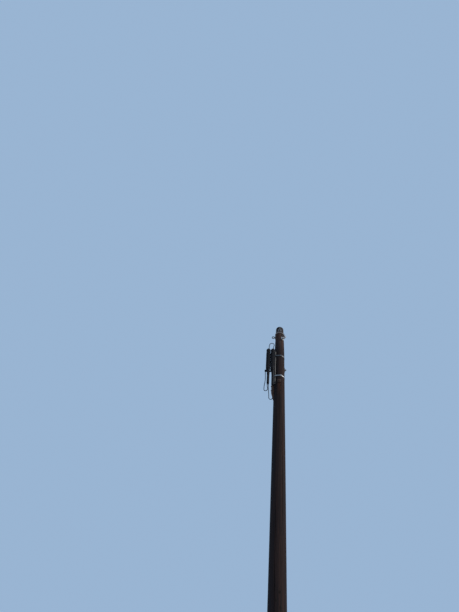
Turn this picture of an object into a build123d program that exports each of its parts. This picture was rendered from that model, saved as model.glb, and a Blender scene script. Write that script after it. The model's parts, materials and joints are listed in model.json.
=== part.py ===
from build123d import *

import os
from math import atan, cos, degrees, pi, radians, sin, sqrt, tan

# A wooden telephone pole with its pole-top hardware, two dome closures on a strapped rail,
# a messenger clamp and the slack loops between them. Millimetres, +Z up, origin at the centre
# of the ground-line face. +Y is the back. An azimuth is an angle about the pole from +X.

# Pole shaft
pole_height = 7600.0
ground_diameter = 232.0
top_diameter = 150.0         # as the log's even taper gives it, before the head has wasted
head_length = 640.0          # the weathered head, which narrows faster
head_waste = 13.0            # what the head's radius has lost at the top
head_steps = 6               # cones that make up the head's curve
roof_slope = 14.0            # the single weathering cut across the top, falling to the back
roof_allowance = 20.0        # the log's spare length that the roof cut takes off
seam_azimuth = 60.0          # where the round surface begins and ends, clear of every hole

# Clearances
seat_gap = 0.2               # between a curved seat and the pole
face_gap = 0.1               # between flat faces bolted together
drill_gap = 0.8              # radial, of a through bolt in its hole in the wood
thread_gap = 0.1             # radial, of a nut or a tapped boss on its bolt

# Heights and azimuths of the through bolts. The hardware keeps its distance below the top.
front_eye_height = pole_height - 100.0
front_eye_azimuth = 270.0
side_eye_height = pole_height - 210.0
side_eye_azimuth = 180.0
corner_eye_height = pole_height - 295.0
corner_eye_azimuth = 312.0
mid_eye_height = pole_height - 961.0
mid_eye_azimuth = 180.0
messenger_height = pole_height - 1255.0
messenger_azimuth = 90.0

# Through bolts, their nuts and curved square washers
bolt_radius = 8.0
bolt_tail = 6.5              # thread showing past the nut
nut_flats = 24.0
nut_height = 13.0
head_height = 10.0
washer_side = 56.0
washer_thickness = 5.0
washer_corner = 4.0
hole_clearance = 0.8         # radial, of a bolt in a washer

# Forged eyes
eye_bore = 32.0
eye_wall = 10.0
eye_thickness = 14.0
eye_round = 3.5
shoulder_radius = 13.0
shoulder_length = 6.0
eye_boss_radius = 15.0
eye_boss_length = 24.0

# Wrapped strand and its staples
strand_radius = 4.5
strand_pitch = 10.5
strand_turns = 2
strand_overlap = 45.0
wrap_height = pole_height - 157.0
wrap_start = 215.0
staple_wire_radius = 2.5
staple_leg = 26.0
staple_room = 1.5
staple_azimuths = (232.0, 345.0, 100.0)

# Mounting rail, a channel that stands on its two legs against the pole
rail_azimuth = 220.0
rail_high = pole_height - 620.0
rail_length = 690.0
rail_width = 28.0
rail_depth = 15.0
rail_sheet = 2.5
rail_round = 2.0

# Steel straps round the pole and rail
upper_strap_height = pole_height - 716.0
lower_strap_height = pole_height - 1145.0
strap_width = 20.0
strap_thickness = 1.0
strap_corner = 1.2
buckle_azimuth = 285.0
buckle_length = 30.0
buckle_width = 26.0
buckle_thickness = 3.5

# Arms from the rail that carry the closures
arm_plane = -48.0
arm_thickness = 4.0
arm_width = 26.0
arm_bend = 8.0
arm_end_round = 6.0
upper_arm_height = pole_height - 660.0
lower_arm_drop = 32.0         # below the foot of the domes, on their bases
upper_arm_end = -202.0
lower_arm_end = -221.0
pad_reach = 0.84             # how near the closure's axis a pad comes, as a share of its radius
pad_half_width = 0.45        # likewise
arm_bolt_radius = 4.0
arm_bolt_head = 8.0
arm_bolt_dome = 3.2
arm_nut_flats = 13.0
arm_nut_height = 6.5

# Dome closures
closure_plane = -86.0
closure_a_place = -172.0
closure_b_place = -104.0
dome_top = pole_height - 594.0
dome_length = 414.0
dome_top_radius = 28.8
dome_foot_radius = 29.8
dome_round = 11.0
dome_lip = 20.0
rib_count = 8
rib_width = 3.0
rib_height = 2.5
collar_height = 30.0
collar_wall = 3.4
collar_gap = 0.2
latch_width = 13.0
latch_depth = 7.0
latch_height = 24.0
latch_azimuth = 250.0
base_height = 50.0
base_chamfer = 4.0
port_shift = 6.0
port_radius = 18.5
port_length = 34.0
sleeve_radius = 22.0
sleeve_end_radius = 19.0
sleeve_bead = 1.3
sleeve_bead_height = 7.0
sleeve_bead_fall = 2.0
sleeve_neck_drop = 30.0      # below the port
sleeve_neck_fall = 30.0
sleeve_end_taper = 3.0
sleeve_a_length = 262.0
sleeve_b_length = 288.0
gland_radius = 8.5
gland_nut_height = 12.0
gland_length = 25.0
gland_shift = 8.0
finger_radius = 7.5
finger_length = 22.0
finger_chamfer = 1.2

# Clamp bands round the closures
band_width = 12.0
band_thickness = 0.9
band_corner = 1.0
band_share = 0.35            # half-width at the back of the arm, as a share of the closure's radius
band_slot_width = 5.5        # of the slots in an arm that its bands pass through
band_slot_offset = 2.3       # of a slot's middle outside the band's corner
screw_housing = (15.0, 8.0, 10.0)
screw_housing_round = 2.5
screw_housing_lift = 0.4

# Lead clamp at the lower arm's outer end
lead_clamp_place = -210.5
lead_clamp_size = (20.0, 22.0, 28.0)
lead_clamp_chamfer = 2.5
lead_clamp_rib = 4.0

# Messenger clamp at the back
messenger_plate_length = 150.0
messenger_plate_height = 42.0
messenger_plate_thickness = 7.0
messenger_plate_round = 8.0
messenger_plate_rise = 2.0   # of its middle above the bolt
messenger_boss = 46.0
messenger_standoff = 6.0
messenger_groove_radius = 4.75
messenger_groove_rise = 14.5
messenger_jaw_gap = 0.6
jaw_bolt_place = 52.0
jaw_bolt_radius = 5.0
jaw_bolt_head = 9.5
jaw_bolt_dome = 4.0
jaw_nut_flats = 17.0
jaw_nut_height = 8.0

# Timber cleat below the closures
cleat_azimuth = 180.0
cleat_top = pole_height - 1265.0
cleat_length = 290.0
cleat_straight = 155.0       # from its top to its shoulder
cleat_width = 44.0
cleat_depth = 34.0
cleat_top_slope = 12.0
cleat_toe = 3.0
cleat_chamfer = 3.0
cleat_screw_drops = (37.0, 121.0)   # below its top
screw_radius = 4.0
screw_depth = 45.0
screw_head_flats = 13.0
screw_head_height = 6.0

# Slack loops, each along a route of points chosen by hand, whose heights are from the pole's top
jumper_diameter = 10.0
jumper_route = [
    (-164.0, -86.0, -569.0), (-164.0, -86.0, -526.0), (-162.0, -85.0, -492.0),
    (-153.0, -83.0, -462.0), (-134.0, -81.0, -443.0), (-108.0, -80.0, -443.0),
    (-89.0, -81.0, -459.0), (-84.0, -83.0, -492.0), (-96.0, -86.0, -532.0),
    (-96.0, -86.0, -569.0),
]
drop_diameter = 10.0
ring_route = [
    (-158.0, -86.0, -1342.0), (-158.0, -86.0, -1397.0), (-154.0, -84.0, -1453.0),
    (-149.0, -81.0, -1508.0), (-146.0, -78.0, -1562.0), (-145.5, -76.0, -1599.0),
    (-131.0, -75.0, -1615.0), (-109.0, -75.0, -1615.0), (-94.5, -76.0, -1599.0),
    (-91.5, -78.0, -1563.0), (-92.0, -80.0, -1508.0), (-94.5, -83.0, -1452.0),
    (-98.0, -86.0, -1405.0), (-98.0, -86.0, -1368.0),
]
drop_route = [
    (-210.5, -59.0, -1054.0), (-210.5, -59.0, -1110.0), (-207.5, -60.0, -1168.0),
    (-206.5, -62.0, -1225.0), (-210.0, -64.0, -1280.0), (-216.5, -67.0, -1330.0),
    (-220.0, -70.0, -1378.0), (-220.5, -74.0, -1416.0), (-218.0, -80.0, -1451.0),
    (-203.0, -85.0, -1467.0), (-181.0, -91.0, -1467.0), (-167.0, -96.0, -1450.0),
    (-165.5, -98.0, -1417.0), (-174.0, -86.0, -1384.0), (-174.0, -86.0, -1342.0),
]

taper = (ground_diameter - top_diameter) / 2 / pole_height
rail_low = rail_high - rail_length
dome_foot = dome_top - dome_length
base_bottom = dome_foot - base_height
lower_arm_height = dome_foot - lower_arm_drop
cleat_shoulder = cleat_top - cleat_straight
cleat_foot = cleat_top - cleat_length
cleat_screw_heights = [cleat_top - drop for drop in cleat_screw_drops]
lean = degrees(atan(taper))


def pole_radius(height):
    """The shaft's radius at a height above the ground."""
    up_the_head = max(0, 1 - (pole_height - height) / head_length)
    return ground_diameter / 2 - taper * height - head_waste * up_the_head**1.5


def seat_radius(height, half_height):
    """The radius of a seat that clears the tapered shaft over a piece's height."""
    return pole_radius(height - half_height) + seat_gap


def around(shape, height, azimuth):
    """Moves a piece from its own +X side to a height and azimuth on the pole."""
    return Pos(0, 0, height) * Rot(0, 0, azimuth) * shape


def rod(radius, start, end):
    """A round bar along +X from one place to another."""
    return Pos((start + end) / 2, 0, 0) * Rot(0, 90, 0) * Cylinder(radius, end - start)


def hexagon_prism(flats, height, start):
    """A hexagon with turned corners, its axis along +X from a start."""
    prism = extrude(RegularPolygon(flats / 2, 6, major_radius=False), height)
    corner = flats / sqrt(3)
    turned = chamfer(Cylinder(corner, height).edges().group_by(Axis.Z)[-1], 0.12 * corner)
    return Pos(start, 0, 0) * Rot(0, 90, 0) * (prism & Pos(0, 0, height / 2) * turned)


def nut(flats, height, hole_radius, start):
    """A hexagon nut along +X."""
    return hexagon_prism(flats, height, start) - rod(hole_radius + thread_gap, start - 1, start + height + 1)


def curved_washer(height):
    """A square washer curved to the pole, with its hole along +X."""
    inner = seat_radius(height, washer_side / 2)
    shell = Cylinder(inner + washer_thickness, washer_side) - Cylinder(inner, 2 * washer_side)
    blank = Pos(inner, 0, 0) * Box(inner, washer_side, washer_side)
    blank = fillet(blank.edges().filter_by(Axis.X), washer_corner)
    return (shell & blank) - rod(bolt_radius + hole_clearance, 0, 2 * inner)


def washer_face(height):
    """The radius of a curved washer's outer crown, where a nut or shoulder bears."""
    return seat_radius(height, washer_side / 2) + washer_thickness + face_gap


def eye(center):
    """A forged eye in the XZ plane, bored along Y."""
    ring = Rot(90, 0, 0) * Cylinder(eye_bore / 2 + eye_wall, eye_thickness)
    ring -= Rot(90, 0, 0) * Cylinder(eye_bore / 2, 2 * eye_thickness)
    ring = fillet(ring.edges().filter_by(GeomType.CIRCLE), eye_round)
    return Pos(center, 0, 0) * ring


def eye_reach(face):
    """The place of an eye's centre whose shoulder bears on a face."""
    return face + shoulder_length + eye_bore / 2 + eye_wall - eye_round


def eye_bolt(height):
    """An eye bolt through the pole, its eye on +X and its thread on -X."""
    face = washer_face(height)
    shank = rod(bolt_radius, -(face + nut_height + bolt_tail), face + shoulder_length / 2)
    shoulder = rod(shoulder_radius, face, face + shoulder_length)
    return shank + shoulder + eye(eye_reach(face))


def washer_pair(height):
    """The curved washers under a through bolt's two ends."""
    washer = curved_washer(height)
    return Compound(children=[washer, Rot(0, 0, 180) * washer])


def far_nut(height):
    """The nut on a through bolt's thread, on the -X side."""
    return Rot(0, 0, 180) * nut(nut_flats, nut_height, bolt_radius, washer_face(height))


def headed_bolt(height, thread_end):
    """A bolt through the pole with its hexagon head on -X and its thread to a place on +X."""
    face = washer_face(height)
    head = Rot(0, 0, 180) * hexagon_prism(nut_flats, head_height, face)
    return head + rod(bolt_radius, -face - head_height / 2, thread_end)


def eye_nut(height):
    """An eye with a tapped boss that screws on a bolt's thread on +X."""
    face = washer_face(height)
    boss = rod(eye_boss_radius, face, face + eye_boss_length)
    boss = chamfer(boss.edges().group_by(Axis.X)[-1], 2)
    ring = eye(face + eye_boss_length + eye_bore / 2 + eye_wall - 2 * eye_round)
    return boss + ring - rod(bolt_radius + thread_gap, face - 1, corner_thread_end(height) + thread_gap)


def corner_thread_end(height):
    """Where the corner bolt's thread ends inside its eye nut."""
    return washer_face(height) + eye_boss_length - 4


def tube_radii(route):
    """The bend radius at each inner point of a route, from its shorter run and its turn."""
    radii = []
    for before, here, after in zip(route, route[1:], route[2:]):
        run_in = Vector(here) - Vector(before)
        run_out = Vector(after) - Vector(here)
        half_turn = radians(run_in.get_angle(run_out)) / 2
        radii.append(0.45 * min(run_in.length, run_out.length) / tan(half_turn))
    return radii


def tube(route, radius):
    """A round tube along straight runs joined by tangent arcs, and the length of its route."""
    path = FilletPolyline(*route, radius=tube_radii(route))
    start = Plane(origin=path @ 0, z_dir=path % 0)
    return sweep(start * Circle(radius), path=path), path.length


def wrap_radius(height):
    """The radius of the wrapped strand's centre line at a height."""
    return pole_radius(height - strand_radius) + strand_radius + 2 * seat_gap


def strand_wrap():
    """The strand wound round the pole, as short runs and arcs that climb one pitch a turn."""
    corner_step = 22.5
    sweep_angle = 360.0 * strand_turns + strand_overlap
    steps = round(sweep_angle / corner_step)
    low = wrap_height - strand_pitch * sweep_angle / 360 / 2
    route = []
    for step in range(steps + 1):
        angle = step * corner_step
        height = low + strand_pitch * angle / 360
        reach = wrap_radius(height) / cos(radians(corner_step / 2))
        turn = radians(wrap_start + angle)
        route.append((reach * cos(turn), reach * sin(turn), height))
    return tube(route, strand_radius)


def staple_size():
    """A staple's inner height over all the strands, and its crown's place from the pole."""
    turns_high = strand_turns + strand_overlap / 360
    inner = strand_pitch * turns_high + 2 * strand_radius + 2 * staple_room
    crown = wrap_radius(wrap_height) + strand_radius + staple_room + staple_wire_radius
    return inner, crown


def staple_legs(extra):
    """A staple's two legs on the +X side, from inside the wood to the crown."""
    inner, crown = staple_size()
    offset = inner / 2 + staple_wire_radius
    leg = rod(staple_wire_radius + extra, pole_radius(wrap_height) - staple_leg - extra, crown)
    return [Pos(0, 0, side * offset) * leg for side in (-1, 1)]


def staple():
    """A wire staple over the strands, on the +X side."""
    inner, crown = staple_size()
    offset = inner / 2 + staple_wire_radius
    low, high = staple_legs(0)
    bar = Pos(crown, 0, 0) * Cylinder(staple_wire_radius, 2 * offset)
    knuckle = Pos(crown, 0, offset) * Sphere(staple_wire_radius)
    return bar + low + high + knuckle + Pos(0, 0, -2 * offset) * knuckle


def rail_face(height):
    """The radius of the rail's outer face, which leans with the pole's side."""
    return pole_radius(height) + seat_gap + rail_depth - rail_sink()


def rail_sink():
    """How far the rail's leg tips lie below the pole's crown line."""
    middle = pole_radius((rail_low + rail_high) / 2)
    return middle - sqrt(middle**2 - (rail_width / 2 - rail_sheet) ** 2)


def mounting_rail():
    """The channel, with a hole in its web for each arm's bolt."""
    middle = (rail_low + rail_high) / 2
    outer = Pos(-rail_depth / 2, 0) * Rectangle(rail_depth, rail_width)
    outer = fillet(outer.vertices().group_by(Axis.X)[-1], rail_round)
    inner_depth = rail_depth - rail_sheet
    inner = Pos(-rail_sheet - inner_depth / 2, 0) * Rectangle(inner_depth, rail_width - 2 * rail_sheet)
    length = rail_high - rail_low
    channel = Pos(0, 0, -length / 2) * extrude(outer - inner, length)
    for height in (upper_arm_height, lower_arm_height):
        channel -= Pos(0, 0, height - middle) * rod(arm_bolt_radius + 0.5, -rail_depth, 1)
    return around(Pos(rail_face(middle), 0, 0) * Rot(0, -lean, 0) * channel, middle, rail_azimuth)


def band(circles, width, thickness):
    """A flat band pulled round circles, given as centre x, centre y and radius."""
    def hull(growth):
        edges = [(Pos(x, y) * Circle(r + growth)).edge() for x, y, r in circles]
        return make_hull(edges)
    return Pos(0, 0, -width / 2) * extrude(hull(thickness) - hull(0), width)


def pole_strap(height):
    """A steel strap round the pole and over the rail."""
    inset = strap_corner - seat_gap
    corner = (rail_face(height - strap_width / 2) - inset, rail_width / 2 - inset)
    circles = [
        (0, 0, seat_radius(height, strap_width / 2)),
        (corner[0], corner[1], strap_corner),
        (corner[0], -corner[1], strap_corner),
    ]
    return around(band(circles, strap_width, strap_thickness), height, rail_azimuth)


def buckle(height):
    """A strap's buckle, a plate with two rolled ears that hold the strap's end down."""
    start = seat_radius(height, strap_width / 2) + strap_thickness + seat_gap
    plate = Pos(start + buckle_thickness / 2, 0, 0) * Box(buckle_thickness, buckle_length, buckle_width)
    plate = fillet(plate.edges().filter_by(Axis.Z), 1.2)
    ear = Rot(90, 0, 0) * Cylinder(buckle_thickness / 2 + 0.8, buckle_length - 8)
    for side in (-1, 1):
        ear_place = side * (buckle_width / 2 - buckle_thickness / 2)
        plate += Pos(start + buckle_thickness / 2 + 0.8, 0, ear_place) * ear
    return around(plate, height, buckle_azimuth)


def arm_turn():
    """The rail's outward direction and the direction along its face towards the back."""
    turn = radians(rail_azimuth)
    return Vector(cos(turn), sin(turn)), Vector(sin(turn), -cos(turn))


def support_arm(height, end, closure_radius):
    """A flat bar bolted to the rail's face and bent to run behind both closures, with its pads."""
    outward, along = arm_turn()
    center = outward * (rail_face(height - arm_width / 2) + face_gap + arm_thickness / 2)
    bend = center + along * ((arm_plane - center.Y) / along.Y)
    start = center - along * (rail_width / 2)
    path = FilletPolyline((start.X, start.Y), (bend.X, bend.Y), (end, arm_plane), radius=arm_bend)
    section = Plane(origin=path @ 0, x_dir=(0, 0, 1), z_dir=path % 0) * Rectangle(arm_width, arm_thickness)
    arm = sweep(section, path=path)
    arm = fillet(arm.edges().filter_by(Axis.Y).group_by(Axis.X)[0], arm_end_round)
    front = arm_plane - arm_thickness / 2
    for place in (closure_a_place, closure_b_place):
        horn = closure_plane + pad_reach * closure_radius
        pad = Box(2 * pad_half_width * closure_radius, front - horn, arm_width)
        arm += Pos(place, (front + horn) / 2, 0) * pad
        arm -= Pos(place, closure_plane, 0) * Cylinder(closure_radius + seat_gap, 2 * arm_width)
        for side in (-1, 1):
            slot_place = place + side * (band_share * closure_radius + band_slot_offset)
            arm -= Pos(slot_place, arm_plane, 0) * Box(band_slot_width, 3 * arm_thickness, band_width + 2)
    arm -= Rot(0, 0, rail_azimuth) * rod(arm_bolt_radius + 0.5, 0, 2 * center.length)
    if end == lower_arm_end:
        arm -= Pos(lead_clamp_place, arm_plane, 0) * Rot(0, 0, 90) * rod(arm_bolt_radius + 0.5, -20, 20)
    return Pos(0, 0, height) * arm


def arm_bolt(height):
    """A domed bolt through an arm and the rail's web, with its nut inside the channel."""
    face = rail_face(height - arm_width / 2) + face_gap
    head_start = face + arm_thickness + face_gap
    inner = rail_face(height) - rail_sheet
    dome = Pos(head_start, 0, 0) * Rot(0, 90, 0) * Cylinder(
        arm_bolt_head, arm_bolt_dome, align=(Align.CENTER, Align.CENTER, Align.MIN))
    dome = fillet(dome.edges().group_by(Axis.X)[-1], arm_bolt_dome * 0.8)
    shank = rod(arm_bolt_radius, inner - arm_nut_height - 2, head_start + 0.5)
    fastening = hexagon_prism(arm_nut_flats, arm_nut_height, inner - 3 * face_gap - arm_nut_height)
    return around(dome + shank + fastening, height, rail_azimuth)


def dome_radius(height):
    """A dome's radius at a height, without its ribs."""
    share = (height - dome_foot) / (dome_top - dome_foot)
    return dome_foot_radius + (dome_top_radius - dome_foot_radius) * share


def closure_dome():
    """The ribbed dome, standing on its lip, with its axis on Z."""
    profile = Polyline(
        (0, dome_foot), (dome_foot_radius, dome_foot), (dome_foot_radius, dome_foot + dome_lip),
        (dome_top_radius, dome_top), (0, dome_top), close=True)
    body = revolve(Plane.XZ * make_face(profile), Axis.Z)
    body = fillet(body.edges().group_by(Axis.Z)[-1], dome_round)
    rib_low = dome_foot + dome_lip
    rib_high = dome_top - dome_round
    rib_profile = Polyline(
        (dome_top_radius / 2, rib_low), (dome_foot_radius + rib_height / 2, rib_low),
        (dome_radius(rib_low) + rib_height, rib_low + 2 * rib_height),
        (dome_radius(rib_high) + rib_height, rib_high - 3 * rib_height),
        (dome_top_radius - 1, rib_high), (dome_top_radius / 2, rib_high), close=True)
    rib = extrude(Plane.XZ * make_face(rib_profile), rib_width / 2, both=True)
    for number in range(rib_count):
        body += Rot(0, 0, (number + 0.5) * 360 / rib_count) * rib
    return body


def closure_collar():
    """The clamp ring over the joint of dome and base, with its latch."""
    inner = dome_foot_radius + collar_gap
    outer = inner + collar_wall
    half = collar_height / 2
    profile = Polyline(
        (inner, -half), (outer - 1.2, -half), (outer, -half / 2), (outer, half / 2),
        (outer - 1.2, half), (inner, half), close=True)
    ring = revolve(Plane.XZ * make_face(profile), Axis.Z)
    latch = Pos(outer + latch_depth / 2 - 1.5, 0, 0) * Box(latch_depth, latch_width, latch_height)
    latch = fillet(latch.edges().group_by(Axis.X)[-1], 1.8)
    lever = Pos(outer + latch_depth - 1.5, 0, -latch_height / 8) * Box(3, latch_width - 5, latch_height * 0.6)
    ring += Rot(0, 0, latch_azimuth) * (latch + lever)
    return Pos(0, 0, dome_foot) * ring


def closure_base():
    """The closure's base with its round cable port, shifted towards the pole."""
    height = dome_foot - face_gap - base_bottom
    base = Pos(0, 0, base_bottom + height / 2) * Cylinder(dome_foot_radius, height)
    base = chamfer(base.edges().group_by(Axis.Z)[0], base_chamfer)
    return base + Pos(port_shift, 0, base_bottom - port_length / 2) * Cylinder(port_radius, port_length)


def closure_sleeve(length, fingers):
    """The shrunk sleeve on the port, closed below and ending in a finger for each cable."""
    top = base_bottom
    foot = top - length
    neck = top - port_length - sleeve_neck_drop
    profile = Polyline(
        (0, top), (sleeve_radius + sleeve_bead, top),
        (sleeve_radius + sleeve_bead, top - sleeve_bead_height),
        (sleeve_radius, top - sleeve_bead_height - sleeve_bead_fall), (sleeve_radius, neck),
        (sleeve_end_radius, neck - sleeve_neck_fall), (sleeve_end_radius, foot + 2 * sleeve_end_taper),
        (sleeve_end_radius - sleeve_end_taper, foot), (0, foot), close=True)
    sleeve = revolve(Plane.XZ * make_face(profile), Axis.Z)
    bore_length = port_length + 0.5
    sleeve -= Pos(0, 0, top - bore_length / 2 + 1) * Cylinder(port_radius + seat_gap, bore_length + 2)
    for shift in fingers:
        finger = Pos(shift, 0, foot - finger_length / 2 + 2) * Cylinder(finger_radius, finger_length + 4)
        sleeve += chamfer(finger.edges().group_by(Axis.Z)[0], finger_chamfer)
    return Pos(port_shift, 0, 0) * sleeve


def top_gland():
    """The cable gland on a dome's crown: a hexagon foot and a tapered cap."""
    nut_body = Rot(0, -90, 0) * hexagon_prism(2 * gland_radius, gland_nut_height, 0)
    cap = Pos(0, 0, gland_nut_height) * Cone(
        gland_radius - 1, jumper_diameter / 2 + 1.5, gland_length - gland_nut_height,
        align=(Align.CENTER, Align.CENTER, Align.MIN))
    return Pos(gland_shift, 0, dome_top) * (nut_body + cap)


def closure_bands(height, radius):
    """The clamp bands round an arm and both closures, each with its screw housing."""
    back = arm_plane + arm_thickness / 2
    bands = []
    for place in (closure_a_place, closure_b_place):
        corner = (band_share * radius, back - closure_plane - band_corner + seat_gap)
        circles = [(0, 0, radius + seat_gap)]
        circles += [(side * corner[0], corner[1], band_corner) for side in (1, -1)]
        loop = band(circles, band_width, band_thickness)
        housing = Box(*screw_housing)
        housing = fillet(housing.edges().filter_by(Axis.X), screw_housing_round)
        loop += Pos(0, -radius - seat_gap - screw_housing[1] / 2 - screw_housing_lift, 0) * housing
        bands.append(Pos(place, closure_plane, height) * loop)
    return Compound(children=bands)


def lead_clamp():
    """The block that holds the lead's upper end, with its stud and nut through the arm."""
    front = arm_plane - arm_thickness / 2 - face_gap
    width, depth, height = lead_clamp_size
    block = Pos(0, front - depth / 2, 0) * Box(width, depth, height)
    block = chamfer(block.edges().group_by(Axis.Y)[0], lead_clamp_chamfer)
    cap = Pos(0, front - depth / 2, 0) * Box(width + lead_clamp_rib, depth - 2 * lead_clamp_rib, height / 3)
    back = arm_plane + arm_thickness / 2 + face_gap
    stud = Rot(0, 0, 90) * rod(arm_bolt_radius, front - 1, back + arm_nut_height + 3)
    fastening = Rot(0, 0, 90) * hexagon_prism(arm_nut_flats, arm_nut_height, back)
    return Pos(lead_clamp_place, 0, lower_arm_height) * (block + cap + stud + fastening)


def messenger_faces():
    """The radii of the messenger clamp's inner plate, jaw face and outer plate."""
    inner_back = seat_radius(messenger_height, messenger_plate_height / 2) + messenger_standoff
    inner_front = inner_back + messenger_plate_thickness
    outer_back = inner_front + messenger_jaw_gap
    return inner_back, inner_front, outer_back, outer_back + messenger_plate_thickness


def groove(face_middle):
    """The round channel along Y that the two plates share."""
    return Pos(face_middle, 0, messenger_groove_rise) * Rot(90, 0, 0) * Cylinder(
        messenger_groove_radius, 2 * messenger_plate_length)


def messenger_plate(start):
    """One flat plate of the clamp, with its ends rounded and its bolt holes."""
    half = messenger_plate_thickness / 2
    blank = Box(messenger_plate_thickness, messenger_plate_length, messenger_plate_height)
    plate = Pos(start + half, 0, messenger_plate_rise) * blank
    plate = fillet(plate.edges().filter_by(Axis.X), messenger_plate_round)
    plate -= rod(bolt_radius + hole_clearance, 0, 2 * start)
    for side in (-1, 1):
        plate -= Pos(0, side * jaw_bolt_place, 0) * rod(jaw_bolt_radius + 0.5, 0, 2 * start)
    return plate


def messenger_inner():
    """The pole-side plate, with the boss that is hollowed to the pole."""
    inner_back, inner_front, outer_back, _ = messenger_faces()
    seat = seat_radius(messenger_height, messenger_plate_height / 2)
    boss = Pos(inner_back - 5, 0, 2) * Box(10.5, messenger_boss, messenger_plate_height - 6)
    plate = messenger_plate(inner_back) + boss
    plate -= Cylinder(seat, 4 * messenger_plate_height)
    plate -= rod(bolt_radius + hole_clearance, 0, 2 * inner_back)
    return plate - groove((inner_front + outer_back) / 2)


def messenger_outer():
    """The outer plate of the clamp."""
    _, inner_front, outer_back, _ = messenger_faces()
    return messenger_plate(outer_back) - groove((inner_front + outer_back) / 2)


def jaw_bolts():
    """The two domed bolts that draw the clamp's plates together, with their nuts."""
    inner_back, _, _, outer_front = messenger_faces()
    bolts = []
    for side in (-1, 1):
        dome = Pos(inner_back - face_gap, 0, 0) * Rot(0, -90, 0) * Cylinder(
            jaw_bolt_head, jaw_bolt_dome, align=(Align.CENTER, Align.CENTER, Align.MIN))
        dome = fillet(dome.edges().group_by(Axis.X)[0], jaw_bolt_dome * 0.8)
        shank = rod(jaw_bolt_radius, inner_back - 1, outer_front + jaw_nut_height + 5)
        fastening = hexagon_prism(jaw_nut_flats, jaw_nut_height, outer_front + face_gap)
        bolts.append(around(Pos(0, side * jaw_bolt_place, 0) * (dome + shank + fastening),
                            messenger_height, messenger_azimuth))
    return Compound(children=bolts)


def messenger_bolt():
    """The through bolt of the clamp, its head and washer at the front and its nut at the back."""
    _, _, _, outer_front = messenger_faces()
    return headed_bolt(messenger_height, outer_front + face_gap + nut_height + bolt_tail)


def screw_hole(height, extra):
    """A cleat screw's shank on the +X side."""
    start = pole_radius(height) - screw_depth
    return Pos(0, 0, height) * rod(screw_radius + extra, start - extra, pole_radius(height) + cleat_depth + 1)


def timber_cleat():
    """A tapered block on the pole's side, hollowed to the shaft."""
    outer = cleat_face()
    wood_top = pole_radius(cleat_top) - cleat_depth
    profile = Polyline(
        (wood_top, cleat_top), (outer, cleat_top - cleat_top_slope), (outer, cleat_shoulder),
        (pole_radius(cleat_foot) + cleat_toe, cleat_foot), (wood_top, cleat_foot), close=True)
    block = extrude(Plane.XZ * make_face(profile), cleat_width / 2, both=True)
    block = chamfer(block.edges().group_by(Axis.X)[-1], cleat_chamfer)
    block -= shaft_body(seat_gap)
    for height in cleat_screw_heights:
        block -= screw_hole(height, seat_gap)
    return Rot(0, 0, cleat_azimuth) * block


def cleat_face():
    """How far the cleat's outer face lies from the pole's axis."""
    return pole_radius(cleat_shoulder) + cleat_depth


def cleat_screws():
    """The two hexagon-headed screws through the cleat into the pole."""
    screws = []
    for height in cleat_screw_heights:
        face = cleat_face() + face_gap
        shank = rod(screw_radius, pole_radius(height) - screw_depth, face + 1)
        washer = rod(screw_head_flats * 0.72, face, face + 1.5)
        head = hexagon_prism(screw_head_flats, screw_head_height, face + 1.4)
        screws.append(Rot(0, 0, cleat_azimuth) * Pos(0, 0, height) * (shank + washer + head))
    return Compound(children=screws)


def shaft_body(extra):
    """The plain shaft, evenly tapered up to its head, grown outwards by a clearance."""
    head_start = pole_height - head_length
    sawn_height = pole_height + roof_allowance
    stations = [head_start + (sawn_height - head_start) * step / head_steps for step in range(head_steps + 1)]
    side = [(pole_radius(height) + extra, height) for height in (0, *stations)]
    return revolve(Plane.XZ * make_face(Polyline((0, 0), *side, (0, sawn_height), close=True)), Axis.Z)


def pole_shaft():
    """The tapered shaft with its sloped top, bored for every bolt, staple and screw."""
    shaft = Rot(0, 0, seam_azimuth) * shaft_body(0)
    front_edge = Pos(0, -pole_radius(pole_height), pole_height)
    shaft -= front_edge * Rot(-roof_slope, 0, 0) * Pos(0, 0, 100) * Box(600, 600, 200)
    hole = rod(bolt_radius + drill_gap, -ground_diameter, ground_diameter)
    for height, azimuth in (
        (front_eye_height, front_eye_azimuth), (side_eye_height, side_eye_azimuth),
        (corner_eye_height, corner_eye_azimuth), (mid_eye_height, mid_eye_azimuth),
        (messenger_height, messenger_azimuth),
    ):
        shaft -= around(hole, height, azimuth)
    for azimuth in staple_azimuths:
        for leg in staple_legs(seat_gap):
            shaft -= around(leg, wrap_height, azimuth)
    for height in cleat_screw_heights:
        shaft -= Rot(0, 0, cleat_azimuth) * screw_hole(height, seat_gap)
    return shaft


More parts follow.
